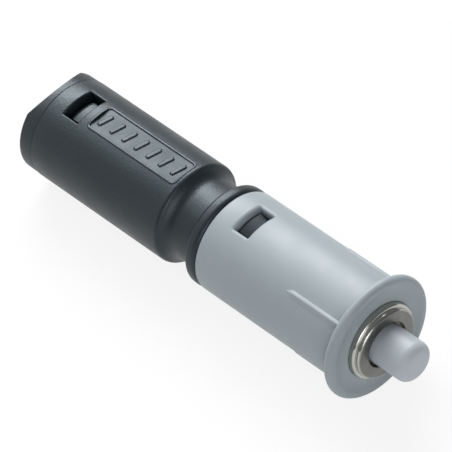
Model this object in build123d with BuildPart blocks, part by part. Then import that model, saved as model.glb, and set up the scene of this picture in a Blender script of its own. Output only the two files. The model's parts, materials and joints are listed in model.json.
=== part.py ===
from build123d import *
import math
import os

# Push-to-open catch for a 10 mm hole in the edge of a cabinet panel.
# The catch lies along Y: the plunger points to -Y, the rear end to +Y, and +Z runs through the windows.
# The origin is on the axis, in the plane of the flange's rear face, where the panel's edge would be.
# All sizes are in millimetres. A station is a distance along Y from the origin.

# Sizes of the housing
barrel_d = 10.0
spigot_wall = 0.62
flange_reach = 1.05
flange_t = 0.9
flange_front_round = 0.48
flange_flat = 0.04
dish_depth = 0.14
dish_rim = 0.75
sleeve_len = 16.95
sleeve_edge_round = 0.12
lip_front = 0.6
lip_len = 1.4
stop_len = 1.4
stop_front_round = 0.62
stop_rear_round = 0.18
neck_len = 3.35
neck_round = 0.55
barrel_len = 16.75
shoulder_round = 0.28
barrel_edge_bevel = 0.08
stop_round_share = 0.7
neck_round_share = 0.6
shoulder_round_share = 0.31

# End cap
cap_band_len = 1.57
cap_inset = 0.04
cap_edge_round = 0.12
cap_pocket_d = 5.2
cap_floor_t = 0.9
flat_setback = 0.94
flat_slope = 55.0

# Crush ribs beside the flange
rib_count = 4
rib_first_angle = 41.0
rib_len = 6.6
rib_tip_len = 0.7
rib_r = 0.21
rib_tip_r = 0.04
rib_proud = 0.13

# Sleeve window and the snap tongue of the rear body that stands in it
sleeve_window_setback = 2.3
sleeve_window_len = 1.65
sleeve_window_w = 3.16
window_edge_round = 0.38
lug_gap_front = 0.2
lug_gap_rear = 0.12
lug_gap_side = 0.12
lug_rise = 0.4
tongue_slit_w = 0.35
tongue_cover = 0.35

# Rear window and the cap's snap lug that stands in it
rear_window_setback = 3.7
rear_window_len = 1.85
rear_window_w = 3.46
rear_window_round = 0.12
cap_lug_gap = 0.28
cap_lug_inset = 0.75
cap_lug_round = 0.35
cap_lug_lead = 0.48

# Label panel on the barrel: a shallow step all round, a flat floor and plain slanted bars
panel_front_setback = 0.66
panel_rear_setback = 4.55
panel_w = 3.2
panel_step = 0.09
panel_depth = 0.35
panel_frame = 0.17
panel_corner = 0.25
bar_count = 7
bar_w = 0.4
bar_len = 1.6
bar_round = 0.18
bar_slant = 14.0
bar_proud = 0.1

# Nose ring of nickelled brass
collar_lip = 0.3
collar_proud = 0.55
collar_round = 0.17
nose_step = 0.22
nose_len = 0.4
nose_round = 0.3
nose_hole_round = 0.28
nose_spigot_len = 2.0

# Cartridge tube
tube_d = 6.8
tube_wall = 0.45
tube_lip_t = 0.3
tube_lip_w = 0.45

# Plunger and what is fixed to it
plunger_d = 3.9
plunger_proud = 4.65
plunger_tip_round = 0.55
stroke = 3.4
stem_spigot_d = 2.24
stem_spigot_len = 5.3
stem_flange_t = 1.0
stem_d = 3.4
stem_tail_step = 0.3
stem_tail_len = 2.4
stem_tail_bevel = 0.2
pin_d = 0.76
pin_short = 0.05
pin_setback = 2.55
buffer_len = 0.9
buffer_round = 0.2

# Fixed pieces in the tube
wiper_len = 1.0
wiper_bevel = 0.3
bush_len = 4.4
bush_bevel = 0.2
snap_ring_t = 0.4
snap_ring_wall = 0.65
snap_ring_bite = 0.15
snap_ring_split = 1.2
washer_t = 0.5
tongue_w = 0.6
tongue_reach = 0.4

# Latch ring, its pins and their tracks in the stem
latch_ring_len = 3.6
latch_pin_d = 0.8
latch_turn = 45.0
track_depth = 0.58
track_overrun = 0.55
keyway_overrun = 0.35

# Spring and what holds it
spring_wire_d = 0.5
spring_turns = 7
seat_setback = 1.4
seat_t = 0.7
clip_t = 0.35
clip_wall = 0.75
clip_groove_depth = 0.3
clip_mouth = 1.9
plug_len = 2.3
seal_d = 0.52
rod_d = 2.6
rod_seat = 1.2
rod_tip_bevel = 0.3

# Clearances
case_gap = 0.05
seat_gap = 0.03
slide_gap = 0.05
end_gap = 0.05
stop_gap = 0.05
spigot_gap = 0.2
travel_gap = 0.25
loose_gap = 0.2
coil_gap = 0.4
rod_gap = 0.6
cap_gap = 0.1
groove_gap = 0.03
seal_gap = 0.01
track_gap = 0.1

# Radii of the housing: the skin, then from the tube's bore outwards
barrel_r = barrel_d / 2
flange_r = barrel_r + flange_reach
flange_rear_round = flange_t - flange_front_round - flange_flat
cap_band_r = barrel_r - cap_inset
tube_r = tube_d / 2
tube_bore_r = tube_r - tube_wall
inner_r = tube_bore_r - seat_gap
core_bore_r = tube_r + case_gap
neck_r = core_bore_r + spigot_wall
sleeve_bore_r = neck_r + case_gap
collar_r = tube_r + collar_lip
nose_r = collar_r - nose_step

# Rounds at the neck, each within its share of the neck's depth
neck_depth = barrel_r - neck_r
stop_round = min(stop_front_round, stop_round_share * neck_depth)
neck_fillet = min(neck_round, neck_round_share * neck_depth)
shoulder_fillet = min(shoulder_round, shoulder_round_share * neck_depth)

# Radii of the plunger's side
plunger_r = plunger_d / 2
hole_r = plunger_r + slide_gap
spigot_r = stem_spigot_d / 2
stem_r = stem_d / 2
stem_hole_r = stem_r + slide_gap
stem_flange_r = tube_bore_r - loose_gap
stem_tail_r = stem_r - stem_tail_step
track_floor_r = stem_r - track_depth
rod_r = rod_d / 2
wire_r = spring_wire_d / 2
coil_r = tube_bore_r - coil_gap - wire_r

# Stations of the housing, from the flange back
lip_rear = lip_front + lip_len
spigot_front = lip_rear + spigot_gap
sleeve_window_end = sleeve_len - sleeve_window_setback
sleeve_window_start = sleeve_window_end - sleeve_window_len
stop_front = sleeve_len + stop_gap
stop_rear = stop_front + stop_len
shoulder_y = stop_rear + neck_len
barrel_rear = shoulder_y + barrel_len
cap_rear = barrel_rear + cap_band_len
rear_window_start = barrel_rear - rear_window_setback
rear_window_end = rear_window_start + rear_window_len
panel_front = shoulder_y + panel_front_setback
panel_rear = barrel_rear - panel_rear_setback
cap_lug_front = rear_window_start + cap_lug_gap
cap_lug_rear = rear_window_end - cap_lug_gap
cap_body_front = cap_lug_front - cap_lug_lead
tube_end = cap_body_front - cap_gap - tube_lip_t

# Stations of the nose, the plunger and the pieces in the tube
collar_front = -flange_t - collar_proud
nose_front = collar_front - nose_len
tip_y = -flange_t - plunger_proud
wiper_front = lip_front + nose_spigot_len
bush_front = wiper_front + wiper_len
bush_rear = bush_front + bush_len
buffer_front = bush_rear + end_gap
stem_flange_front = buffer_front + buffer_len
stem_flange_rear = stem_flange_front + stem_flange_t
pin_y = stem_flange_front - pin_setback
front_snap_y = stem_flange_rear + stroke + travel_gap
key_washer_y = front_snap_y + snap_ring_t + end_gap
latch_ring_y = key_washer_y + washer_t + end_gap
latch_pin_y = latch_ring_y + latch_ring_len / 2
thrust_washer_y = latch_ring_y + latch_ring_len + end_gap
rear_snap_y = thrust_washer_y + washer_t + end_gap
seat_y = rear_snap_y + snap_ring_t + seat_setback
seat_rear = seat_y + seat_t
stem_tail_end = seat_y + stem_tail_len
rod_front = stem_tail_end + stroke + rod_gap
plug_front = tube_end - plug_len


def half_ring(inner, outer, start, end):
    """Half section of a ring: a rectangle from radius inner to outer, between two stations."""
    with Locations(((inner + outer) / 2, (start + end) / 2)):
        Rectangle(outer - inner, end - start)


def half_ring_cut(inner, outer, start, end):
    """The same rectangle, taken away."""
    with Locations(((inner + outer) / 2, (start + end) / 2)):
        Rectangle(outer - inner, end - start, mode=Mode.SUBTRACT)


def corner_at(sketch, radius, station):
    """The corner of a half section at one radius and station."""
    near = sketch.vertices().filter_by(lambda v: abs(v.X - radius) < tiny)
    return near.filter_by(lambda v: abs(v.Y - station) < tiny)


def on_skin(edge, radius):
    """Whether both ends of an edge lie on the upper half of the cylinder of one radius."""
    return all(v.Z > 0 and abs(math.hypot(v.X, v.Z) - radius) < tiny for v in edge.vertices())


def top_window(width, start, end):
    """Cuts a straight window through the top wall, between two stations."""
    with BuildSketch(Plane.XY) as opening:
        with Locations((0, (start + end) / 2)):
            Rectangle(width, end - start)
    extrude(opening.sketch, amount=cut_reach, mode=Mode.SUBTRACT)


def window_rim(body, width, start, end):
    """The edges of a window where it comes out of the housing's skin."""
    rim = body.edges().filter_by(lambda e: on_skin(e, barrel_r))
    rim = rim.filter_by(lambda e: start - tiny < e.center().Y < end + tiny)
    return rim.filter_by(lambda e: abs(e.center().X) < width / 2 + tiny)


def ring(inner, outer, start, end):
    """A plain ring about the axis, between two stations."""
    with BuildSketch(Plane.XY) as section:
        half_ring(inner, outer, start, end)
    revolve(section.sketch, axis=Axis.Y)


def cross_hole(radius, station):
    """Cuts a round hole through both walls along X."""
    with BuildSketch(Plane.YZ) as hole:
        with Locations((station, 0)):
            Circle(radius)
    extrude(hole.sketch, amount=cut_reach, both=True, mode=Mode.SUBTRACT)


def save(shape, label):
    """Names a finished piece and writes its STEP file."""
    shape.label = label
    export_step(shape, f"parts/{label}.step")


os.makedirs("parts", exist_ok=True)
cut_reach = barrel_d
tiny = 1e-4

# Front sleeve: flange with a shallow dish, pocket for the nose ring, bore for the spigot
with BuildPart() as front_sleeve:
    with BuildSketch(Plane.XY) as section:
        half_ring(core_bore_r, barrel_r, -flange_t, sleeve_len)
        half_ring(core_bore_r, flange_r, -flange_t, 0)
        half_ring_cut(0, collar_r + seat_gap, -flange_t, lip_front)
        half_ring_cut(0, sleeve_bore_r, lip_rear, sleeve_len)
        fillet(corner_at(section, flange_r, 0), flange_rear_round)
        fillet(corner_at(section, flange_r, -flange_t), flange_front_round)
        fillet(corner_at(section, barrel_r, sleeve_len), sleeve_edge_round)
        with BuildLine(mode=Mode.PRIVATE) as dish_line:
            ThreePointArc(
                (flange_r - dish_rim, -flange_t),
                ((flange_r - dish_rim + collar_r) / 2, -flange_t + dish_depth),
                (collar_r, -flange_t + dish_depth / 2),
            )
            Polyline(
                (collar_r, -flange_t + dish_depth / 2),
                (collar_r, -flange_t - dish_depth),
                (flange_r - dish_rim, -flange_t - dish_depth),
                (flange_r - dish_rim, -flange_t),
            )
        make_face(dish_line.line.edges(), mode=Mode.SUBTRACT)
    revolve(axis=Axis.Y)
    with BuildSketch(Plane.XZ):
        with PolarLocations(barrel_r + rib_proud - rib_r, rib_count, start_angle=rib_first_angle):
            Circle(rib_r)
    extrude(amount=-(rib_len - rib_tip_len))
    with BuildSketch(Plane.XZ.offset(-(rib_len - rib_tip_len))):
        with PolarLocations(barrel_r + rib_proud - rib_r, rib_count, start_angle=rib_first_angle):
            Circle(rib_r)
    extrude(amount=-rib_tip_len, taper=math.degrees(math.atan((rib_r - rib_tip_r) / rib_tip_len)))
    top_window(sleeve_window_w, sleeve_window_start, sleeve_window_end)
    rim = window_rim(front_sleeve, sleeve_window_w, sleeve_window_start, sleeve_window_end)
    fillet(rim, window_edge_round)
save(front_sleeve.part, "front_sleeve")

# Snap tongue: the lug on the spigot that stands in the sleeve's window
lug_w = sleeve_window_w - 2 * lug_gap_side
lug_front = sleeve_window_start + lug_gap_front
lug_rear = sleeve_window_end - lug_gap_rear
slit_front = lug_front - tongue_slit_w
slit_end = sleeve_len - tongue_cover
with BuildPart() as tongue_lug:
    ring(core_bore_r, neck_r + lug_rise, lug_front, lug_rear)
    with BuildSketch(Plane.XY):
        with Locations((0, (lug_front + lug_rear) / 2)):
            Rectangle(lug_w, lug_rear - lug_front)
    extrude(amount=cut_reach, mode=Mode.INTERSECT)

# Label panel: a shallow step along the barrel's curve, then a flat floor inside its frame
panel_y = (panel_front + panel_rear) / 2
panel_len = panel_rear - panel_front
panel_floor_z = barrel_r - panel_depth
floor_w = panel_w - 2 * panel_frame
floor_len = panel_len - 2 * panel_frame
floor_corner = panel_corner - panel_frame / 2
with BuildPart() as panel_pocket:
    with BuildSketch(Plane.XY.offset(neck_r)):
        with Locations((0, panel_y)):
            RectangleRounded(panel_w, panel_len, panel_corner)
    extrude(amount=cut_reach)
    with BuildSketch(Plane.XY):
        half_ring(0, barrel_r - panel_step, shoulder_y, barrel_rear)
    revolve(axis=Axis.Y, mode=Mode.SUBTRACT)
    with BuildSketch(Plane.XY.offset(panel_floor_z)):
        with Locations((0, panel_y)):
            RectangleRounded(floor_w, floor_len, floor_corner)
    extrude(amount=cut_reach)

# Rear body: barrel, neck, stop collar and spigot in one dark moulding
with BuildPart() as rear_body:
    with BuildSketch(Plane.XY) as section:
        half_ring(core_bore_r, neck_r, spigot_front, barrel_rear)
        half_ring(core_bore_r, barrel_r, stop_front, stop_rear)
        half_ring(core_bore_r, barrel_r, shoulder_y, barrel_rear)
        fillet(corner_at(section, barrel_r, stop_front), stop_round)
        fillet(corner_at(section, barrel_r, stop_rear), stop_rear_round)
        fillet(corner_at(section, neck_r, stop_rear), neck_fillet)
        fillet(corner_at(section, barrel_r, shoulder_y), shoulder_fillet)
        fillet(corner_at(section, neck_r, shoulder_y), neck_fillet)
        chamfer(corner_at(section, barrel_r, barrel_rear), barrel_edge_bevel)
    revolve(axis=Axis.Y)
    top_window(rear_window_w, rear_window_start, rear_window_end)
    fillet(window_rim(rear_body, rear_window_w, rear_window_start, rear_window_end), rear_window_round)
    add(panel_pocket.part, mode=Mode.SUBTRACT)
    with BuildSketch(Plane.XY.offset(panel_floor_z - bar_proud)):
        with Locations((0, panel_y)):
            with GridLocations(bar_w, floor_len / bar_count, 1, bar_count):
                RectangleRounded(bar_len, bar_w, bar_round, rotation=bar_slant)
    extrude(amount=2 * bar_proud)
    with BuildSketch(Plane.XY):
        with Locations((0, (slit_front + slit_end) / 2)):
            Rectangle(lug_w + 2 * tongue_slit_w, slit_end - slit_front)
        with Locations((0, (lug_front + slit_end) / 2)):
            Rectangle(lug_w, slit_end - lug_front, mode=Mode.SUBTRACT)
    extrude(amount=cut_reach, mode=Mode.SUBTRACT)
    add(tongue_lug.part)
save(rear_body.part, "rear_body")

# End cap: rim with a slanted flat, hollow body and the lug that snaps into the rear window
cap_body_r = core_bore_r - seat_gap
cap_pocket_r = cap_pocket_d / 2
cap_lug_r = barrel_r - cap_lug_inset
with BuildPart() as cap_lug:
    with BuildSketch(Plane.XY) as section:
        half_ring(cap_pocket_r, cap_lug_r, cap_lug_front, cap_lug_rear)
        fillet(corner_at(section, cap_lug_r, cap_lug_front), cap_lug_round)
        fillet(corner_at(section, cap_lug_r, cap_lug_rear), cap_lug_round)
    revolve(axis=Axis.Y)
    with BuildSketch(Plane.XY):
        with Locations((0, (cap_lug_front + cap_lug_rear) / 2)):
            Rectangle(rear_window_w - 2 * cap_lug_gap, cap_lug_rear - cap_lug_front)
    extrude(amount=cut_reach, mode=Mode.INTERSECT)

with BuildPart() as end_cap:
    with BuildSketch(Plane.XY) as section:
        half_ring(0, cap_body_r, cap_body_front, barrel_rear)
        half_ring(0, cap_band_r, barrel_rear, cap_rear)
        half_ring_cut(0, cap_pocket_r, cap_body_front, barrel_rear - cap_floor_t)
        fillet(corner_at(section, cap_band_r, cap_rear), cap_edge_round)
        chamfer(corner_at(section, cap_band_r, barrel_rear), barrel_edge_bevel)
    revolve(axis=Axis.Y)
    add(cap_lug.part)
    flat_drop = (flat_setback + cut_reach) * math.tan(math.radians(flat_slope))
    with BuildSketch(Plane.YZ):
        with BuildLine():
            Polyline(
                (cap_rear - flat_setback, cap_band_r),
                (cap_rear + cut_reach, cap_band_r),
                (cap_rear + cut_reach, cap_band_r - flat_drop),
                close=True,
            )
        make_face()
    extrude(amount=cut_reach, both=True, mode=Mode.SUBTRACT)
save(end_cap.part, "end_cap")

# Nose ring: nickelled, two steps in front of the flange and a spigot in the tube
with BuildPart() as nose_ring:
    with BuildSketch(Plane.XY) as section:
        half_ring(hole_r, collar_r, collar_front, lip_front)
        half_ring(hole_r, nose_r, nose_front, collar_front)
        half_ring(hole_r, inner_r, lip_front, wiper_front)
        fillet(corner_at(section, collar_r, collar_front), collar_round)
        fillet(corner_at(section, nose_r, nose_front), nose_round)
        fillet(corner_at(section, hole_r, nose_front), nose_hole_round)
    revolve(axis=Axis.Y)
save(nose_ring.part, "nose_ring")

# Cartridge tube with two grooves and a rolled lip at its rear end
with BuildPart() as cartridge_tube:
    with BuildSketch(Plane.XY):
        half_ring(tube_bore_r, tube_r, lip_front, tube_end + tube_lip_t)
        half_ring(tube_bore_r - tube_lip_w, tube_bore_r, tube_end, tube_end + tube_lip_t)
        groove_r = tube_bore_r + snap_ring_bite + groove_gap
        for groove_y in (front_snap_y, rear_snap_y):
            half_ring_cut(0, groove_r, groove_y - groove_gap, groove_y + snap_ring_t + groove_gap)
    revolve(axis=Axis.Y)
save(cartridge_tube.part, "cartridge_tube")

# Nose wiper and guide bush, both seated in the tube behind the nose ring
with BuildPart() as nose_wiper:
    with BuildSketch(Plane.XY) as section:
        half_ring(hole_r, inner_r, wiper_front, bush_front)
        chamfer(corner_at(section, hole_r, bush_front), wiper_bevel)
    revolve(axis=Axis.Y)
save(nose_wiper.part, "nose_wiper")

with BuildPart() as guide_bush:
    with BuildSketch(Plane.XY) as section:
        half_ring(hole_r, inner_r, bush_front, bush_rear)
        chamfer(corner_at(section, hole_r, bush_front), bush_bevel)
        chamfer(corner_at(section, hole_r, bush_rear), bush_bevel)
    revolve(axis=Axis.Y)
save(guide_bush.part, "guide_bush")

# Plunger: rounded nose in front, socket for the stem behind, hole for the cross pin
with BuildPart() as plunger:
    with BuildSketch(Plane.XY) as section:
        half_ring(0, plunger_r, tip_y, stem_flange_front)
        socket_front = stem_flange_front - stem_spigot_len - end_gap
        half_ring_cut(0, spigot_r + seat_gap, socket_front, stem_flange_front)
        fillet(corner_at(section, plunger_r, tip_y), plunger_tip_round)
    revolve(axis=Axis.Y)
    cross_hole(pin_d / 2 + seat_gap, pin_y)
save(plunger.part, "plunger")

with BuildPart() as plunger_pin:
    with BuildSketch(Plane.YZ):
        with Locations((pin_y, 0)):
            Circle(pin_d / 2)
    extrude(amount=plunger_r - pin_short, both=True)
save(plunger_pin.part, "plunger_pin")

# Buffer ring: soft ring in front of the stem's flange
with BuildPart() as buffer_ring:
    with BuildSketch(Plane.XY) as section:
        half_ring(plunger_r + seat_gap, stem_flange_r, buffer_front, stem_flange_front)
        fillet(corner_at(section, stem_flange_r, buffer_front), buffer_round)
    revolve(axis=Axis.Y)
save(buffer_ring.part, "buffer_ring")

# Latch stem: spigot, flange, shaft with slanted tracks and straight keyways, tail for the spring seat
track_w = latch_pin_d + 2 * track_gap
track_rise = stroke + 2 * track_overrun
track_pitch = stroke * 360 / latch_turn
track_mid_r = (track_floor_r + stem_r + track_gap) / 2
track_start_y = latch_pin_y - stroke - track_overrun
track_start_angle = latch_turn * (stroke + track_overrun) / stroke
with BuildPart() as track_cutter:
    with BuildLine() as track_line:
        Helix(
            track_pitch,
            track_rise,
            track_mid_r,
            center=(0, track_start_y, 0),
            direction=(0, 1, 0),
            lefthand=True,
        )
    start = track_line.line @ 0
    outward = Vector(start.X, 0, start.Z).normalized()
    with BuildSketch(Plane(origin=start, x_dir=outward, z_dir=track_line.line % 0)):
        Rectangle(stem_r + track_gap - track_floor_r, track_w)
    sweep(path=track_line.line, is_frenet=True)
found_angle = math.degrees(math.atan2(-start.Z, start.X))

clip_floor_r = stem_tail_r - clip_groove_depth
with BuildPart() as latch_stem:
    with BuildSketch(Plane.XY) as section:
        half_ring(0, spigot_r, stem_flange_front - stem_spigot_len, stem_flange_front)
        half_ring(0, stem_flange_r, stem_flange_front, stem_flange_rear)
        half_ring(0, stem_r, stem_flange_rear, seat_y)
        half_ring(0, stem_tail_r, seat_y, stem_tail_end)
        half_ring_cut(clip_floor_r, stem_tail_r, seat_rear, seat_rear + clip_t + groove_gap)
        chamfer(corner_at(section, stem_tail_r, stem_tail_end), stem_tail_bevel)
    revolve(axis=Axis.Y)
    keyway_y = key_washer_y - stroke - keyway_overrun
    keyway_floor_r = stem_r - tongue_reach - track_gap
    with BuildSketch(Plane.XZ.offset(-keyway_y)):
        with PolarLocations((keyway_floor_r + barrel_r) / 2, 2, start_angle=90):
            Rectangle(barrel_r - keyway_floor_r, tongue_w + 2 * track_gap)
    extrude(amount=-(stem_tail_end - keyway_y), mode=Mode.SUBTRACT)
    cross_hole(pin_d / 2 + seat_gap, pin_y)
    for side in (0, 180):
        turn = track_start_angle + side - found_angle
        add(track_cutter.part.rotate(Axis.Y, turn), mode=Mode.SUBTRACT)
save(latch_stem.part, "latch_stem")

# Latch ring with its two pins
latch_ring_r = tube_bore_r - slide_gap
latch_pin_inner_r = track_floor_r + track_gap
with BuildPart() as latch_ring:
    ring(stem_hole_r, latch_ring_r, latch_ring_y, latch_ring_y + latch_ring_len)
    cross_hole(latch_pin_d / 2 + seat_gap, latch_pin_y)
save(latch_ring.part, "latch_ring")

for pin_name, pin_side in (("latch_pin_left", -1), ("latch_pin_right", 1)):
    with BuildPart() as latch_pin:
        with BuildSketch(Plane.YZ.offset(pin_side * latch_pin_inner_r)):
            with Locations((latch_pin_y, 0)):
                Circle(latch_pin_d / 2)
        extrude(amount=pin_side * (latch_ring_r - seat_gap - latch_pin_inner_r))
    save(latch_pin.part, pin_name)

# Key washer in front of the latch ring, thrust washer behind it
with BuildPart() as key_washer:
    ring(stem_hole_r, inner_r, key_washer_y, key_washer_y + washer_t)
    tongue_tip_r = stem_r - tongue_reach
    tongue_root_r = (stem_hole_r + inner_r) / 2
    with BuildSketch(Plane.XZ.offset(-key_washer_y)):
        with PolarLocations((tongue_tip_r + tongue_root_r) / 2, 2, start_angle=90):
            Rectangle(tongue_root_r - tongue_tip_r, tongue_w)
    extrude(amount=-washer_t)
save(key_washer.part, "key_washer")

with BuildPart() as thrust_washer:
    ring(stem_hole_r, inner_r, thrust_washer_y, thrust_washer_y + washer_t)
save(thrust_washer.part, "thrust_washer")

# Snap rings in the tube's grooves, each with its split below
snap_outer_r = tube_bore_r + snap_ring_bite
for snap_name, snap_y in (("snap_ring_front", front_snap_y), ("snap_ring_rear", rear_snap_y)):
    with BuildPart() as snap_ring:
        ring(snap_outer_r - snap_ring_wall, snap_outer_r, snap_y, snap_y + snap_ring_t)
        with BuildSketch(Plane.XY):
            with Locations((0, snap_y + snap_ring_t / 2)):
                Rectangle(snap_ring_split, 2 * snap_ring_t)
        extrude(amount=-cut_reach, mode=Mode.SUBTRACT)
    save(snap_ring.part, snap_name)

# Spring seat on the stem's tail, with the clip that keeps it there
with BuildPart() as spring_seat:
    ring(stem_tail_r + seat_gap, stem_flange_r, seat_y, seat_rear)
save(spring_seat.part, "spring_seat")

clip_inner_r = clip_floor_r + seat_gap
with BuildPart() as stem_clip:
    ring(clip_inner_r, clip_inner_r + clip_wall, seat_rear, seat_rear + clip_t)
    with BuildSketch(Plane.XY):
        with Locations((0, seat_rear + clip_t / 2)):
            Rectangle(clip_mouth, 2 * clip_t)
    extrude(amount=-cut_reach, mode=Mode.SUBTRACT)
save(stem_clip.part, "stem_clip")

# Return spring between the seat and the plug
spring_rise = plug_front - seat_rear - spring_wire_d
with BuildPart() as return_spring:
    with BuildLine() as coil_line:
        Helix(
            spring_rise / spring_turns,
            spring_rise,
            coil_r,
            center=(0, seat_rear + wire_r, 0),
            direction=(0, 1, 0),
        )
    with BuildSketch(Plane(origin=coil_line.line @ 0, z_dir=coil_line.line % 0)):
        Circle(wire_r)
    sweep(path=coil_line.line, is_frenet=True)
save(return_spring.part, "return_spring")

# Tube plug with its ring seal and the spring's rod
seal_floor_r = tube_bore_r - seal_gap - seal_d
seal_y = plug_front + plug_len / 2
with BuildPart() as tube_plug:
    with BuildSketch(Plane.XY):
        half_ring(0, inner_r, plug_front, tube_end)
        half_ring_cut(seal_floor_r, tube_bore_r, seal_y - seal_d / 2 - end_gap, seal_y + seal_d / 2 + end_gap)
        half_ring_cut(0, rod_r + seat_gap, plug_front, plug_front + rod_seat)
    revolve(axis=Axis.Y)
save(tube_plug.part, "tube_plug")

with BuildPart() as plug_seal:
    with BuildSketch(Plane.XY):
        with Locations((seal_floor_r + seal_d / 2, seal_y)):
            Circle(seal_d / 2)
    revolve(axis=Axis.Y)
save(plug_seal.part, "plug_seal")

with BuildPart() as spring_rod:
    with BuildSketch(Plane.XY) as section:
        half_ring(0, rod_r, rod_front, plug_front + rod_seat)
        chamfer(corner_at(section, rod_r, rod_front), rod_tip_bevel)
    revolve(axis=Axis.Y)
save(spring_rod.part, "spring_rod")
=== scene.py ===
import json
import math

import bmesh
import bpy
from mathutils import Matrix, Vector


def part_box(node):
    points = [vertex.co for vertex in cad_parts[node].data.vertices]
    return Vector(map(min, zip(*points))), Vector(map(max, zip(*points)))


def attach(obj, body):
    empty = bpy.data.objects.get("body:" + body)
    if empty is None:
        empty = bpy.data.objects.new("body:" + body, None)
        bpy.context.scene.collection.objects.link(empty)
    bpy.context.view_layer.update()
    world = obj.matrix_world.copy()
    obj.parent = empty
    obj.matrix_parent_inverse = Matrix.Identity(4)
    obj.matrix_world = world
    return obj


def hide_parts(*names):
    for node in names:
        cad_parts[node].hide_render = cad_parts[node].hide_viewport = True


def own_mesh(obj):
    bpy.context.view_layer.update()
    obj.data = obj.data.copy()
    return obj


# Looks of the push-to-open catch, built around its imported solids.
# The catch lies along Y with its plunger to -Y, and +Z runs through the windows.
# Sizes of the pieces are in millimetres, turned into metres as their vertices are made.

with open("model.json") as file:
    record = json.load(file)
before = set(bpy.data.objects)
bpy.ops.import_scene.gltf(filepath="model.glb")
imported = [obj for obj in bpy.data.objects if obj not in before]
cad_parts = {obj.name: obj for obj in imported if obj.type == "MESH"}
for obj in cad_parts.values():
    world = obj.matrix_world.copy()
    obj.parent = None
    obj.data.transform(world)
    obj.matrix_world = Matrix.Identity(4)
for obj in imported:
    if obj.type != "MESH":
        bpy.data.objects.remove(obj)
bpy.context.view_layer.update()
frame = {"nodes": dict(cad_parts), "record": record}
nodes = frame["nodes"]
mm = 0.001

# Housing: radii, then stations along Y from the flange's rear face
barrel_r = 5.0
flange_r = 6.04
flange_t = 0.9
flange_front_round = 0.48
flange_rear_round = 0.38
dish_rim = 0.75
dish_depth = 0.14
pocket_r = 3.73
core_r = 3.45
body_front = 2.2
neck_r = 4.07
sleeve_bore_r = 4.12
lip_front = 0.6
lip_rear = 2.0
sleeve_len = 16.95
stop_front = 17.0
stop_rear = 18.4
stop_front_round = 0.6
stop_rear_round = 0.4
neck_round = 0.45
shoulder_foot = 21.5
shoulder_foot_round = 1.4
shoulder_top = 22.0
shoulder_top_round = 0.5
barrel_rear = 38.5
edge_bevel = 0.08

# Ribs beside the flange
rib_angles = (-131, -41, 49, 139)
rib_len = 6.6
rib_tip_len = 0.7
rib_half_w = 0.38
rib_tip_half_w = 0.1
rib_proud = 0.19

# Windows: width, start, end and round of the rim. The lugs in them: width, start, end and rise.
sleeve_window = (3.16, 13.0, 14.65, 0.38)
rear_window = (3.46, 34.8, 36.65, 0.2)
tongue_lug = (2.92, 13.2, 14.53, 0.42)
tongue_slope_drop = 0.85
tongue_slit_w = 0.35
tongue_slit_depth = 0.5
cap_lug = (2.9, 35.0, 36.5, 0.83)
cap_lug_slope_start = 35.85
cap_lug_slope_drop = 0.3
lug_round = 0.14

# Label panel: frame and floor, with plain slanted bars
panel_w = 3.2
panel_front = 22.41
panel_rear = 33.95
panel_corner = 0.55
panel_lip = 0.045
panel_depth = 0.25
panel_frame = 0.25
panel_side_lip = 0.06
bar_count = 7
bar_w = 0.5
bar_len = 1.6
bar_slant = 14.0
bar_round = 0.18
bar_proud = 0.12

# End cap
cap_r = 4.96
cap_body_r = 3.42
cap_body_front = 34.6
cap_pocket_r = 2.6
cap_floor_y = 37.6
cap_rear = 40.07
cap_round = 0.12
flat_setback = 0.94
flat_slope = 55.0

# Nose ring
hole_r = 2.0
collar_r = 3.7
collar_front = -1.45
collar_round = 0.24
nose_r = 3.48
nose_front = -1.85
nose_round = 0.3
mouth_r = 2.24
mouth_depth = 1.3
mouth_round = 0.08
crease_depth = 0.06
nose_spigot_r = 2.92
nose_spigot_end = 2.6

# Nose ring's plate: where the dull front face, darkened with painted shade, ends and the bright wall
# begins, and the turned circles
face_edge = 0.02
wall_edge = 0.16
circles_per_m = 9000

# Plunger
plunger_r = 1.95
plunger_tip = -5.55
plunger_rear = 8.95
plunger_round = 0.85
plunger_dome = 0.09
dome_r = 1.0
socket_r = 1.15
socket_front = 3.6

# Return spring
spring_front = 21.3
spring_end = 31.9
spring_wire_r = 0.25
spring_coil_r = 2.3
spring_turns = 7

# View: azimuth, elevation and roll in degrees, distance from the point in the middle of the picture
view_azimuth = -36.41
view_elevation = 47.10
view_roll = -10.49
view_distance = 0.3865
view_aim = (-0.0036, 0.0131, 0.0078)
view_lens = 357.5
sensor_width = 36.0


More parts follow.
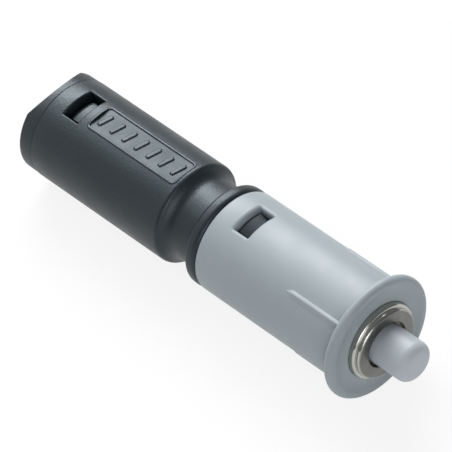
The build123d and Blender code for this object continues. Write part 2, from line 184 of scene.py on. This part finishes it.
# Node materials
class Nodes:
    """A material with a Principled shader, and short ways to add and link its nodes."""

    def __init__(self, name):
        self.mat = bpy.data.materials.new(name)
        self.mat.use_nodes = True
        self.tree = self.mat.node_tree
        self.tree.nodes.clear()
        self.out = self.add("ShaderNodeOutputMaterial")
        self.shader = self.add("ShaderNodeBsdfPrincipled")
        self.link(self.shader.outputs["BSDF"], self.out.inputs["Surface"])
        self.place = self.add("ShaderNodeTexCoord").outputs["Object"]

    def add(self, kind, **values):
        node = self.tree.nodes.new(kind)
        for key, value in values.items():
            setattr(node, key, value)
        return node

    def link(self, start, end):
        self.tree.links.new(start, end)

    def scaled(self, scale):
        """Object coordinates, stretched by a scale for each axis."""
        mapping = self.add("ShaderNodeMapping")
        mapping.inputs["Scale"].default_value = scale
        self.link(self.place, mapping.inputs["Vector"])
        return mapping.outputs["Vector"]

    def noise(self, size, detail=3.0, roughness=0.5, stretch=(1, 1, 1)):
        """Noise whose largest spots are about size metres across."""
        node = self.add("ShaderNodeTexNoise")
        node.inputs["Scale"].default_value = 1.0
        node.inputs["Detail"].default_value = detail
        node.inputs["Roughness"].default_value = roughness
        self.link(self.scaled([s / size for s in stretch]), node.inputs["Vector"])
        return node.outputs["Fac"]

    def ranged(self, value, low, high, start=0.3, end=0.7):
        """A value between low and high, spread over start to end."""
        node = self.add("ShaderNodeMapRange")
        node.inputs["From Min"].default_value = start
        node.inputs["From Max"].default_value = end
        node.inputs["To Min"].default_value = low
        node.inputs["To Max"].default_value = high
        self.link(value, node.inputs["Value"])
        return node.outputs["Result"]

    def ramp(self, value, *stops):
        """Colours at places from 0 to 1."""
        node = self.add("ShaderNodeValToRGB")
        elements = node.color_ramp.elements
        elements[0].position, elements[0].color = stops[0][0], (*stops[0][1], 1)
        elements[1].position, elements[1].color = stops[-1][0], (*stops[-1][1], 1)
        for place, colour in stops[1:-1]:
            elements.new(place).color = (*colour, 1)
        self.link(value, node.inputs["Fac"])
        return node.outputs["Color"]

    def rougher_inside(self, rough, limits):
        """Roughness that rises inside a box, given as low, high and soft edge for each axis."""
        axes = self.add("ShaderNodeSeparateXYZ")
        self.link(self.place, axes.inputs[0])
        inside = None
        for axis, (low, high, edge) in zip("XYZ", limits):
            up = self.ranged(axes.outputs[axis], 0.0, 1.0, (low - edge) * mm, low * mm)
            down = self.ranged(axes.outputs[axis], 1.0, 0.0, high * mm, (high + edge) * mm)
            for share in (up, down):
                if inside is None:
                    inside = share
                    continue
                both = self.add("ShaderNodeMath", operation="MULTIPLY")
                self.link(inside, both.inputs[0])
                self.link(share, both.inputs[1])
                inside = both.outputs[0]
        more = self.add("ShaderNodeMath", operation="MULTIPLY_ADD")
        self.link(inside, more.inputs[0])
        more.inputs[1].default_value = floor_rougher
        self.link(rough, more.inputs[2])
        return more.outputs[0]

    def bumps(self, *layers):
        """Bump nodes in a row, each a height with its strength and its depth in metres."""
        last = None
        for height, strength, depth in layers:
            node = self.add("ShaderNodeBump")
            node.inputs["Strength"].default_value = strength
            node.inputs["Distance"].default_value = depth
            self.link(height, node.inputs["Height"])
            if last is not None:
                self.link(last, node.inputs["Normal"])
            last = node.outputs["Normal"]
        self.link(last, self.shader.inputs["Normal"])

    def set(self, **values):
        for key, value in values.items():
            self.shader.inputs[key.replace("_", " ")].default_value = value


def shade(colour, factor):
    return tuple(c * factor for c in colour)


def moulded(
    name,
    colour,
    rough,
    spread=0.06,
    grain=0.00022,
    grain_depth=4e-6,
    cloud=0.006,
    gloss=0.5,
    sheen=(1, 1, 1),
    floor=None,
):
    """Satin moulded plastic: faint clouds of colour, fine spark-eroded grain and soft sink marks."""
    m = Nodes(name)
    m.shader.inputs["Specular IOR Level"].default_value = gloss
    m.shader.inputs["Specular Tint"].default_value = (*sheen, 1)
    clouds = m.noise(cloud, detail=4)
    tones = m.ramp(clouds, (0.3, shade(colour, 1 - spread)), (0.7, shade(colour, 1 + spread)))
    m.link(tones, m.shader.inputs["Base Color"])
    fine = m.noise(grain, detail=2)
    uneven = m.ranged(m.noise(cloud / 3, detail=3), rough - 0.04, rough + 0.05)
    if floor:
        uneven = m.rougher_inside(uneven, floor)
    m.link(uneven, m.shader.inputs["Roughness"])
    m.bumps((fine, 0.5, grain_depth), (clouds, 0.1, 2e-5))
    return m.mat


def metal(name, colour, rough, stretch, grain=0.0004, spread=0.05, strength=0.12):
    """Metal with fine turning marks and slightly uneven gloss."""
    m = Nodes(name)
    m.set(Metallic=1.0)
    marks = m.noise(grain, detail=3, stretch=stretch)
    spots = m.noise(0.0015, detail=4)
    tones = m.ramp(spots, (0.3, shade(colour, 1 - spread)), (0.7, shade(colour, 1 + spread)))
    m.link(tones, m.shader.inputs["Base Color"])
    m.link(m.ranged(spots, rough - 0.03, rough + 0.06), m.shader.inputs["Roughness"])
    m.bumps((marks, strength, 3e-6))
    return m.mat


def nickel(name, wall_colour, painted_shade_face_colour):
    """Bright nickel plate, rougher on the ring's turned front face, where fine circles show. The face's
    darker colour is painted shade.
    """
    m = Nodes(name)
    m.set(Metallic=1.0)
    axes = m.add("ShaderNodeSeparateXYZ")
    m.link(m.place, axes.inputs[0])
    face_end = (nose_front + face_edge) * mm
    wall_start = (nose_front + wall_edge) * mm
    face = m.ranged(axes.outputs["Y"], 1.0, 0.0, face_end, wall_start)
    colours = m.add("ShaderNodeMix", data_type="RGBA")
    spots = m.noise(0.0012, detail=4)
    wall_tones = m.ramp(spots, (0.3, shade(wall_colour, 0.94)), (0.7, wall_colour))
    m.link(wall_tones, colours.inputs["A"])
    # The front face gets a darker copy of the nickel's colour: painted shade.
    painted_shade_face_tones = m.ramp(spots, (0.3, shade(painted_shade_face_colour, 0.8)), (0.7, shade(painted_shade_face_colour, 1.1)))
    m.link(painted_shade_face_tones, colours.inputs["B"])
    m.link(face, colours.inputs["Factor"])
    m.link(colours.outputs["Result"], m.shader.inputs["Base Color"])
    m.link(m.ranged(face, 0.12, 0.36, 0, 1), m.shader.inputs["Roughness"])
    across = m.add("ShaderNodeVectorMath", operation="LENGTH")
    flat = m.scaled((1, 0, 1))
    m.link(flat, across.inputs[0])
    circles = m.add("ShaderNodeTexNoise", noise_dimensions="1D")
    circles.inputs["Scale"].default_value = circles_per_m
    m.link(across.outputs["Value"], circles.inputs["W"])
    m.bumps((circles.outputs["Fac"], 0.25, 6e-6), (spots, 0.15, 1e-5))
    return m.mat


# Colours of the materials, linear
sleeve_colour = (0.248, 0.285, 0.308)
plunger_colour = (0.35, 0.385, 0.42)
rubber_colour = (0.028, 0.03, 0.033)
white_colour = (0.72, 0.72, 0.67)
steel_colour = (0.42, 0.42, 0.42)
dark_colour = (0.0085, 0.012, 0.015)
dark_sheen = (0.78, 0.93, 1.0)
nickel_wall = (0.46, 0.455, 0.42)
# The nose ring's front face is coloured darker than its wall: painted shade.
nickel_face_painted_shade = (0.175, 0.176, 0.168)

# The label panel's floor is a little rougher: low, high and soft edge of its box along X, Y and Z
floor_rougher = 0.03
label_floor = (
    (panel_frame - panel_w / 2, panel_w / 2 - panel_frame, 0.02),
    (panel_front + panel_frame, panel_rear - panel_frame, 0.05),
    (barrel_r - panel_depth - 0.05, barrel_r - panel_depth + 0.03, 0.03),
)

finishes = {
    "sleeve_plastic": moulded(
        "sleeve_moulding", sleeve_colour, 0.46, spread=0.03, grain_depth=7e-6, gloss=0.38
    ),
    "dark_plastic": moulded(
        "dark_moulding", dark_colour, 0.42, spread=0.12, grain_depth=3.6e-5, gloss=0.47,
        sheen=dark_sheen, floor=label_floor,
    ),
    "dark_rubber": moulded("seal_rubber", rubber_colour, 0.6, spread=0.15),
    "nickel": nickel("bright_nickel", nickel_wall, nickel_face_painted_shade),
    "plunger_plastic": moulded("plunger_moulding", plunger_colour, 0.45, spread=0.02),
    "white_plastic": moulded("natural_moulding", white_colour, 0.5, spread=0.03),
    "steel": metal("plain_steel", steel_colour, 0.33, (1, 6, 1)),
}

for part in frame["record"]["subparts"]:
    node = nodes[part["node"]]
    for place in node.material_slots:
        place.material = finishes[part["material_slot"]]


# Shapes of sections and reliefs
def smooth(value, start, end):
    """0 at start, 1 at end, with soft ends."""
    t = min(max((value - start) / (end - start), 0), 1)
    return t * t * (3 - 2 * t)


def outside(x, y, half_w, half_l, corner):
    """Distance from the outline of a rounded rectangle about 0, 0, negative inside it."""
    dx = abs(x) - half_w + corner
    dy = abs(y) - half_l + corner
    return math.hypot(max(dx, 0), max(dy, 0)) + min(max(dx, dy), 0) - corner


def spread_over(start, end, step):
    """Evenly spaced values from start to end, both included."""
    count = max(1, math.ceil((end - start) / step))
    return [start + (end - start) * i / count for i in range(count + 1)]


def near_edge(edge, side, reach):
    """Values beside a rim's edge on one side, closer together towards the edge."""
    return [edge + side * reach * (1 - math.cos(math.pi / 2 * i / 7)) for i in range(8)]


def tidy(values, least=0.012):
    """Sorted values, without those that nearly repeat the last one."""
    kept = []
    for value in sorted(values):
        if not kept or value - kept[-1] > least:
            kept.append(value)
    return kept


def exact(values, *fixed):
    """Tidy values in which the fixed ones, and their opposites, stay exactly as they are."""
    held = [v for f in fixed for v in ((f, -f) if min(values) < 0 else (f,))]
    others = [v for v in tidy(values) if all(abs(v - h) > 0.012 for h in held)]
    return sorted(others + held)


def rounded_line(corners, arc_steps=7):
    """Points (radius, station) of a section, from corners that each give radius, station and round."""
    points = []
    for i, (radius, station, size) in enumerate(corners):
        place = Vector((radius, station))
        if size == 0:
            points.append(tuple(place))
            continue
        before = (Vector(corners[i - 1][:2]) - place).normalized()
        after = (Vector(corners[(i + 1) % len(corners)][:2]) - place).normalized()
        half = before.angle(after) / 2
        centre = place + (before + after).normalized() * size / math.sin(half)
        start = place + before * size / math.tan(half) - centre
        end = place + after * size / math.tan(half) - centre
        turn = start.angle_signed(end)
        for step in range(arc_steps + 1):
            ray = Matrix.Rotation(-turn * step / arc_steps, 2) @ start
            points.append(tuple(centre + ray))
    return points


def refined(points, stations, closed=True):
    """The section's points, with the stations added where it runs along the axis."""
    result = []
    pairs = list(zip(points, points[1:] + points[:1]))
    for start, end in pairs if closed else pairs[:-1]:
        result.append(start)
        if abs(start[0] - end[0]) < 1e-4:
            low, high = sorted((start[1], end[1]))
            inner = [y for y in stations if low + 0.01 < y < high - 0.01]
            for y in inner if start[1] < end[1] else reversed(inner):
                result.append((start[0], y))
    return result if closed else result + [points[-1]]


# Pieces turned about the barrel's axis
top_reach = 2.3
straight_r = 3.4


class Turned:
    """A section turned about the axis. Its columns are straight strips on top, and angles all round."""

    def __init__(self, top_columns, angles=(), around=56):
        self.top = [x for x in top_columns if abs(x) <= top_reach]
        first = math.degrees(math.asin(top_reach / barrel_r))
        turns = spread_over(first, 360 - first, (360 - 2 * first) / around)
        self.turns = tidy(turns[1:-1] + [a % 360 for a in angles], 0.3)
        self.first = first

    def spot(self, column, radius):
        """X and Z of one column at a radius."""
        if column < len(self.top):
            x = self.top[column] * radius / max(radius, straight_r)
            return x, math.sqrt(max(radius * radius - x * x, 0))
        share = (self.turns[column - len(self.top)] - self.first) / (360 - 2 * self.first)
        edge = math.asin(top_reach / max(radius, straight_r))
        angle = edge + share * (2 * math.pi - 2 * edge)
        return radius * math.sin(angle), radius * math.cos(angle)

    def form(self, section, skin_r, height, window=None, closed=True):
        """The turned mesh. Height raises the points from skin_r outwards, and the window is cut out."""
        count = len(self.top) + len(self.turns)
        form = bmesh.new()
        rows = []
        for radius, station in section:
            row = []
            for column in range(count):
                x, z = self.spot(column, radius)
                if radius >= skin_r:
                    lift = height(x, station, math.degrees(math.atan2(x, z)), radius)
                    x, z = self.spot(column, radius + lift)
                row.append(form.verts.new((x * mm, station * mm, z * mm)))
            rows.append(row)
        cut = []
        for i in range(len(rows) if closed else len(rows) - 1):
            here, there = rows[i], rows[(i + 1) % len(rows)]
            low, high = sorted((section[i][1], section[(i + 1) % len(rows)][1]))
            for column in range(count):
                after = (column + 1) % count
                if window and after < len(self.top) and column < after:
                    width, start, end = window[:3]
                    inside = max(abs(self.top[column]), abs(self.top[after])) < width / 2 + 0.001
                    if inside and start - 0.001 < low and high < end + 0.001:
                        cut.append((i, column))
                        continue
                form.faces.new((here[column], there[column], there[after], here[after]))
        if cut:
            loose = [e for e in form.edges if len(e.link_faces) == 1]
            bmesh.ops.bridge_loops(form, edges=loose)
        form.verts.ensure_lookup_table()
        bmesh.ops.delete(form, geom=[v for v in form.verts if not v.link_faces], context="VERTS")
        bmesh.ops.remove_doubles(form, verts=form.verts, dist=1e-8)
        bmesh.ops.recalc_face_normals(form, faces=form.faces)
        return form


def flat_surface(x, y, turn, radius):
    """The height of a surface with nothing on it."""
    return 0


def beyond(x, y, place, corner=0, more=0):
    """Distance from the outline of a window or lug, or from one that is larger all round."""
    width, start, end = place[:3]
    return outside(x, y - (start + end) / 2, width / 2 + more, (end - start) / 2 + more, corner)


def rim_drop(x, y, window):
    """How far a window's rounded rim lies below the skin."""
    size = window[3]
    gap = beyond(x, y, window)
    if gap >= size:
        return 0
    return -(size - math.sqrt(size * size - (size - max(gap, 0)) ** 2))


def lug_rise(x, y, lug):
    """Height of a lug with rounded edges."""
    return lug[3] * smooth(beyond(x, y, lug, lug_round), 0.0, -lug_round)


def finished(form, name, body, slot, *replaced, sharp=38):
    """A piece from its mesh, riding on a body in place of CAD nodes."""
    mesh = bpy.data.meshes.new(name)
    form.to_mesh(mesh)
    form.free()
    mesh.shade_smooth()
    mesh.set_sharp_from_angle(angle=math.radians(sharp))
    piece = bpy.data.objects.new(name, mesh)
    bpy.context.scene.collection.objects.link(piece)
    mesh.materials.append(finishes[slot])
    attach(piece, body)
    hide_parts(*replaced)
    return piece


def rib_columns():
    """Angles that are close together across each rib."""
    across = spread_over(-4.8, 4.8, 0.6)
    return [angle + step for angle in rib_angles for step in across]


# Front sleeve: dished flange, ribs and the window with its wide soft rim
def sleeve_height(x, y, turn, radius):
    lift = rim_drop(x, y, sleeve_window) if abs(turn) < 40 else 0
    if 0 <= y < rib_len and radius > barrel_r - 0.01 and abs(turn) > 30:
        half_w = rib_half_w + (rib_tip_half_w - rib_half_w) * smooth(y, rib_len - rib_tip_len, rib_len)
        for angle in rib_angles:
            across = abs((turn - angle + 180) % 360 - 180) * math.pi / 180 * barrel_r
            if across < half_w:
                share = across / half_w
                lift = max(lift, rib_proud * half_w / rib_half_w * (1 - share ** 1.2))
    return lift


def make_sleeve():
    dish_outer = flange_r - dish_rim
    middle = (dish_outer + pocket_r) / 2
    half = (dish_outer - pocket_r) / 2
    dish = []
    for radius in spread_over(pocket_r, dish_outer, 0.12):
        depth = dish_depth * (1 - ((radius - middle) / half) ** 2)
        tilt = dish_depth / 2 * (dish_outer - radius) / (2 * half)
        dish.append((radius, -flange_t + max(depth, tilt), 0))
    corners = [
        (core_r, lip_front, 0),
        (pocket_r, lip_front, 0),
        *dish,
        (flange_r, -flange_t, flange_front_round),
        (flange_r, 0, flange_rear_round),
        (barrel_r, 0, 0),
        (barrel_r, sleeve_len, 0.12),
        (sleeve_bore_r, sleeve_len, 0.05),
        (sleeve_bore_r, lip_rear, 0),
        (core_r, lip_rear, 0),
    ]
    width, start, end, size = sleeve_window
    stations = spread_over(start, end, 0.25)
    stations += near_edge(start, -1, size) + near_edge(end, 1, size)
    stations += spread_over(rib_len - rib_tip_len, rib_len + 0.05, 0.1)
    stations += [0.02, 0.5, 2, 4, rib_len + 0.15, rib_len + 0.3]
    columns = spread_over(-width / 2, width / 2, 0.2) + spread_over(-top_reach, top_reach, 0.3)
    columns += near_edge(-width / 2, -1, size) + near_edge(width / 2, 1, size)
    turned = Turned(exact(columns, width / 2), rib_columns())
    section = refined(rounded_line(corners), exact(stations, start, end))
    return turned.form(section, barrel_r - 0.3, sleeve_height, sleeve_window)


# Rear body: collar, neck and barrel, with the framed label, the rear window and the snap tongue
def label_level(x, y):
    """Height of the label against the barrel's skin."""
    middle = (panel_front + panel_rear) / 2
    length = panel_rear - panel_front
    gap = outside(x, y - middle, panel_w / 2, length / 2, panel_corner)
    if gap > 0.03:
        return 0
    side = max(0, 1 + (abs(x) - panel_w / 2) / panel_frame)
    strip = (panel_lip + panel_side_lip * side) * smooth(gap, 0.02, -0.06)
    floor = math.hypot(barrel_r - panel_depth, x) - barrel_r
    into = smooth(gap, -panel_frame + 0.03, -panel_frame - 0.04)
    level = strip * (1 - into) + floor * into
    pitch = (length - 2 * panel_frame) / bar_count
    for i in range(bar_count):
        along = y - middle - (i - (bar_count - 1) / 2) * pitch
        if abs(along) < bar_len / 2:
            turned = Matrix.Rotation(math.radians(bar_slant), 2) @ Vector((x, along))
            edge = outside(turned.x, turned.y, bar_len / 2, bar_w / 2, bar_round)
            level += bar_proud * smooth(edge, 0.02, -0.09)
    return level


def body_height(x, y, turn, radius):
    if abs(turn) > 40:
        return 0
    if y > shoulder_top:
        return label_level(x, y) + rim_drop(x, y, rear_window)
    start, end = tongue_lug[1:3]
    if start - 1 < y < end + 1 and radius < barrel_r - 0.5:
        slit = beyond(x, y, tongue_lug, more=tongue_slit_w)
        groove = smooth(slit, 0, -0.04) * smooth(beyond(x, y, tongue_lug), 0, 0.04)
        slope = 1 - tongue_slope_drop * (end - y) / (end - start)
        return lug_rise(x, y, tongue_lug) * slope - tongue_slit_depth * groove
    return 0


def make_body():
    corners = [
        (core_r, body_front, 0),
        (neck_r, body_front, 0.1),
        (neck_r, stop_front, 0),
        (barrel_r, stop_front, stop_front_round),
        (barrel_r, stop_rear, stop_rear_round),
        (neck_r, stop_rear, neck_round),
        (neck_r, shoulder_foot, shoulder_foot_round),
        (barrel_r, shoulder_top, shoulder_top_round),
        (barrel_r, barrel_rear, edge_bevel),
        (core_r, barrel_rear, 0),
    ]
    width, start, end, size = rear_window
    window_stations = spread_over(start, end, 0.3)
    window_stations += near_edge(start, -1, size) + near_edge(end, 1, size)
    window_stations = exact(window_stations, start, end)
    label_stations = spread_over(panel_front + 0.3, panel_rear - 0.3, 0.045)
    label_stations += spread_over(panel_front - 0.04, panel_front + 0.3, 0.03)
    label_stations += spread_over(panel_rear - 0.3, panel_rear + 0.04, 0.03)
    lug_stations = spread_over(tongue_lug[1] - 0.45, tongue_lug[2] + 0.45, 0.05)
    stations = sorted(window_stations + tidy(label_stations) + lug_stations)
    columns = spread_over(-top_reach, top_reach, 0.12) + spread_over(-0.95, 0.95, 0.06)
    for side in (-1, 1):
        columns += [side * x for x in spread_over(panel_w / 2 - 0.32, panel_w / 2 + 0.04, 0.03)]
        columns += near_edge(side * width / 2, side, size)
    turned = Turned(exact(columns, width / 2))
    outer = refined(rounded_line(corners), stations)
    inner_stations = [y for y in window_stations if start - 0.01 < y < end + 0.01]
    section = []
    for radius, station in outer:
        on_bore = abs(radius - core_r) < 0.001
        at_end = min(abs(station - body_front), abs(station - barrel_rear)) < 0.001
        if not on_bore or at_end or any(abs(station - y) < 1e-6 for y in inner_stations):
            section.append((radius, station))
    return turned.form(section, neck_r - 0.1, body_height, rear_window)


# End cap: its lug shows in the rear window, and a slanted flat is cut from its rim
def cap_height(x, y, turn, radius):
    if abs(turn) > 60 or radius > cap_body_r + 0.1:
        return 0
    slope = 1 - cap_lug_slope_drop * smooth(y, cap_lug_slope_start, cap_lug[2])
    return lug_rise(x, y, cap_lug) * slope


def make_cap():
    corners = [
        (0, cap_floor_y, 0),
        (cap_pocket_r, cap_floor_y, 0.1),
        (cap_pocket_r, cap_body_front, 0),
        (cap_body_r, cap_body_front, 0.1),
        (cap_body_r, barrel_rear, 0),
        (cap_r, barrel_rear, edge_bevel),
        (cap_r, cap_rear, cap_round),
        (0, cap_rear, 0),
    ]
    stations = spread_over(cap_lug[1] - 0.1, cap_lug[2] + 0.1, 0.05)
    columns = spread_over(-top_reach, top_reach, 0.12)
    for side in (-1, 1):
        columns += [side * x for x in spread_over(cap_lug[0] / 2 - 0.2, cap_lug[0] / 2 + 0.04, 0.04)]
    turned = Turned(tidy(columns), around=88)
    section = refined(rounded_line(corners), stations, closed=False)
    form = turned.form(section, cap_body_r - 0.1, cap_height, closed=False)
    slope = math.radians(flat_slope)
    bmesh.ops.bisect_plane(
        form,
        geom=form.verts[:] + form.edges[:] + form.faces[:],
        plane_co=(0, (cap_rear - flat_setback) * mm, cap_r * mm),
        plane_no=(0, math.sin(slope), math.cos(slope)),
        clear_outer=True,
    )
    rim = [e for e in form.edges if len(e.link_faces) == 1]
    bmesh.ops.contextual_create(form, geom=rim)
    bmesh.ops.recalc_face_normals(form, faces=form.faces)
    return form


# Nose ring: a full round bead, a crease and the inner tier
def make_nose():
    corners = [
        (hole_r, nose_front + mouth_depth, 0),
        (mouth_r, nose_front + mouth_depth, 0),
        (mouth_r, nose_front, mouth_round),
        (nose_r - crease_depth, nose_front, nose_round),
        (nose_r - crease_depth, collar_front + crease_depth, 0.03),
        (collar_r, collar_front, collar_round),
        (collar_r, lip_front, 0),
        (nose_spigot_r, lip_front, 0),
        (nose_spigot_r, nose_spigot_end, 0.05),
        (hole_r, nose_spigot_end, 0),
    ]
    turned = Turned(spread_over(-top_reach, top_reach, 0.2), around=110)
    return turned.form(rounded_line(corners, arc_steps=10), 10, flat_surface)


# Plunger: a softly rounded, slightly domed end in front, and the socket of its stem behind
def make_plunger():
    dome = []
    for radius in spread_over(0, dome_r, 0.1):
        dome.append((radius, plunger_tip + plunger_dome * (radius / plunger_r) ** 2, 0))
    corners = [
        *dome,
        (plunger_r, plunger_tip + plunger_dome, plunger_round),
        (plunger_r, plunger_rear, 0.04),
        (socket_r, plunger_rear, 0),
        (socket_r, socket_front, 0),
        (0, socket_front, 0),
    ]
    turned = Turned(spread_over(-top_reach, top_reach, 0.2), around=80)
    section = rounded_line(corners, arc_steps=12)
    return turned.form(section, barrel_r, flat_surface, closed=False)


# Return spring: a helix of round wire, swept from a curve
def make_spring():
    curve = bpy.data.curves.new("spring_line", "CURVE")
    curve.dimensions = "3D"
    curve.bevel_depth = spring_wire_r * mm
    curve.bevel_resolution = 4
    curve.use_fill_caps = True
    line = curve.splines.new("POLY")
    steps = spring_turns * 32
    line.points.add(steps)
    first = spring_front + spring_wire_r
    rise = spring_end - spring_front - 2 * spring_wire_r
    for i, point in enumerate(line.points):
        angle = 2 * math.pi * spring_turns * i / steps
        x = spring_coil_r * math.cos(angle)
        z = spring_coil_r * math.sin(angle)
        point.co = (x * mm, (first + rise * i / steps) * mm, z * mm, 1)
    holder = bpy.data.objects.new("spring_line", curve)
    mesh = bpy.data.meshes.new_from_object(holder)
    form = bmesh.new()
    form.from_mesh(mesh)
    bpy.data.objects.remove(holder)
    return form


finished(make_sleeve(), "front_sleeve_moulding", "housing", "sleeve_plastic", "front_sleeve")
finished(make_body(), "rear_body_moulding", "housing", "dark_plastic", "rear_body")
finished(make_cap(), "end_cap_moulding", "housing", "dark_plastic", "end_cap")
finished(make_nose(), "nose_ring_turned", "housing", "nickel", "nose_ring")
finished(make_plunger(), "plunger_moulding_round", "plunger", "plunger_plastic", "plunger")
spring = finished(make_spring(), "return_spring_coil", "housing", "steel", "return_spring")
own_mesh(spring)

# Camera at the photograph's angle
azimuth = math.radians(view_azimuth)
elevation = math.radians(view_elevation)
towards = Vector((
    math.sin(azimuth) * math.cos(elevation),
    -math.cos(azimuth) * math.cos(elevation),
    math.sin(elevation),
))
camera_data = bpy.data.cameras.new("camera")
camera_data.lens = view_lens
camera_data.sensor_width = sensor_width
camera_data.clip_start = 0.01
camera_data.clip_end = 10
camera = bpy.data.objects.new("camera", camera_data)
bpy.context.scene.collection.objects.link(camera)
turn = towards.to_track_quat("Z", "Y").to_matrix() @ Matrix.Rotation(math.radians(view_roll), 3, "Z")
camera.matrix_world = Matrix.Translation(Vector(view_aim) + towards * view_distance) @ turn.to_4x4()
bpy.context.scene.camera = camera

# Floor under the flange's rim and the cap's rear edge, so the catch lies on it as it does on a table
flange_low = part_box("front_sleeve")[0].z
cap_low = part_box("end_cap")[0].z
cap_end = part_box("end_cap")[1].y
floor_size = 3.0
floor_gap = 0.00005
floor_glow = 0.86
floor_mesh = bpy.data.meshes.new("floor")
floor_form = bmesh.new()
bmesh.ops.create_grid(floor_form, x_segments=8, y_segments=8, size=floor_size / 2)
floor_form.to_mesh(floor_mesh)
floor_form.free()
floor = bpy.data.objects.new("floor", floor_mesh)
bpy.context.scene.collection.objects.link(floor)
tilt = math.atan2(cap_low - flange_low, cap_end)
floor.matrix_world = Matrix.Translation((0, 0, flange_low - floor_gap)) @ Matrix.Rotation(tilt, 4, "X")

paper = Nodes("paper")
paper.set(Roughness=0.9)
paper.shader.inputs["Specular IOR Level"].default_value = 0.1
fibres = paper.noise(0.004, detail=4)
pale = paper.ramp(fibres, (0.3, (0.69, 0.69, 0.69)), (0.7, (0.72, 0.72, 0.72)))
paper.link(pale, paper.shader.inputs["Base Color"])
glow = paper.add("ShaderNodeEmission")
glow.inputs["Color"].default_value = (1, 1, 1, 1)
glow.inputs["Strength"].default_value = 1.0
rays = paper.add("ShaderNodeLightPath")
seen = paper.add("ShaderNodeMath", operation="MAXIMUM")
paper.link(rays.outputs["Is Camera Ray"], seen.inputs[0])
paper.link(rays.outputs["Is Transmission Ray"], seen.inputs[1])
mirrored = paper.add("ShaderNodeMath", operation="MAXIMUM")
paper.link(seen.outputs[0], mirrored.inputs[0])
paper.link(rays.outputs["Is Glossy Ray"], mirrored.inputs[1])
share = paper.add("ShaderNodeMath", operation="MULTIPLY")
share.inputs[1].default_value = floor_glow
paper.link(mirrored.outputs[0], share.inputs[0])
both = paper.add("ShaderNodeMixShader")
paper.link(share.outputs[0], both.inputs[0])
paper.link(paper.shader.outputs["BSDF"], both.inputs[1])
paper.link(glow.outputs["Emission"], both.inputs[2])
paper.link(both.outputs["Shader"], paper.out.inputs["Surface"])
floor.data.materials.append(paper.mat)


# Studio light: a key from behind on the right, a fill in front, two weak boxes behind, and a pale world
def soft_box(name, place, aim, size, power):
    data = bpy.data.lights.new(name, "AREA")
    data.shape = "RECTANGLE"
    data.size, data.size_y = size
    data.energy = power
    lamp = bpy.data.objects.new(name, data)
    bpy.context.scene.collection.objects.link(lamp)
    way = Vector(place) - Vector(aim)
    turn = way.to_track_quat("Z", "Y").to_matrix().to_4x4()
    lamp.matrix_world = Matrix.Translation(Vector(place)) @ turn
    return lamp


middle = (0, 0.017, 0)
soft_box("key", (0.38, 0.47, 0.56), middle, (0.55, 0.5), 10.0)
soft_box("fill", (-0.35, -0.6, 0.3), middle, (0.5, 0.5), 2.7)
soft_box("side", (-0.62, 0.5, 0.36), middle, (0.7, 0.7), 1.2)
soft_box("top", (-0.12, 0.5, 0.66), middle, (0.45, 0.45), 2.0)

world = bpy.data.worlds.new("studio")
bpy.context.scene.world = world
world.use_nodes = True
backdrop = world.node_tree.nodes["Background"]
backdrop.inputs["Color"].default_value = (0.95, 0.97, 1.0, 1)
backdrop.inputs["Strength"].default_value = 0.22

bpy.context.scene.view_settings.view_transform = "Standard"
